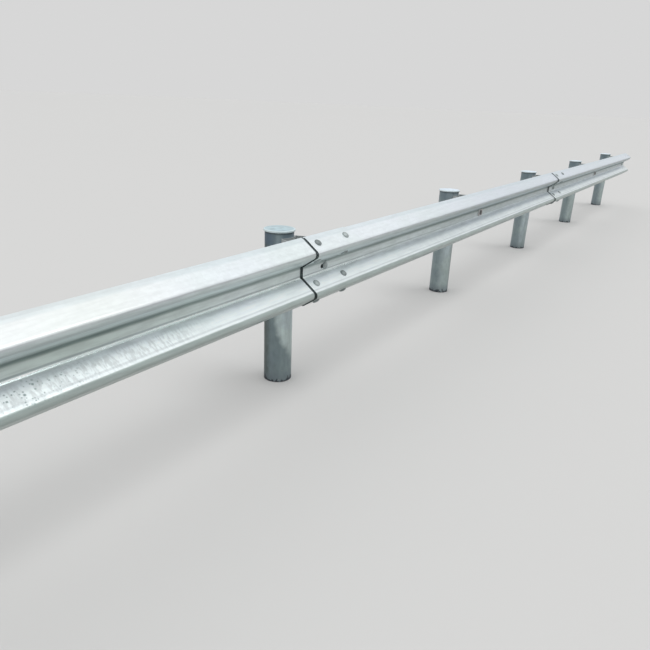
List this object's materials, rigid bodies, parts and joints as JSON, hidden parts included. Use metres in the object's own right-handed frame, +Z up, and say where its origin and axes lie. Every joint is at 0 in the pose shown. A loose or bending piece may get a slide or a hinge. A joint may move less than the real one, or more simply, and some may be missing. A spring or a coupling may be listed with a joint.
{
  "type": "highway guardrail section",
  "caption": "Straight bays of two-wave steel guardrail: lapped rail panels on round capped posts, held off by hexagonal sheet block-outs.",
  "frame": {"origin": "centre of the middle post's foot, at ground level", "axes": "+X along the rail, with each panel lapped over the one before it; +Y from the road to the field side; +Z up"},
  "size_m": [12.3202, 0.4177, 0.795],
  "materials": {
    "rail": "hot-dip galvanised, bright and lightly spangled",
    "post": "hot-dip galvanised, weathered grey",
    "cap": "hot-dip galvanised, pressed",
    "block": "hot-dip galvanised, matt"
  },
  "bodies": {
    "root": {"rail_panel_1": "rail", "rail_panel_2": "rail", "rail_panel_3": "rail", "post_1": "post", "post_cap_1": "cap", "block_out_1": "block", "post_2": "post", "post_cap_2": "cap", "block_out_2": "block", "post_3": "post", "post_cap_3": "cap", "block_out_3": "block", "post_4": "post", "post_cap_4": "cap", "block_out_4": "block", "post_5": "post", "post_cap_5": "cap", "block_out_5": "block", "post_6": "post", "post_cap_6": "cap", "block_out_6": "block", "post_7": "post", "post_cap_7": "cap", "block_out_7": "block"}
  },
  "joints": []
}
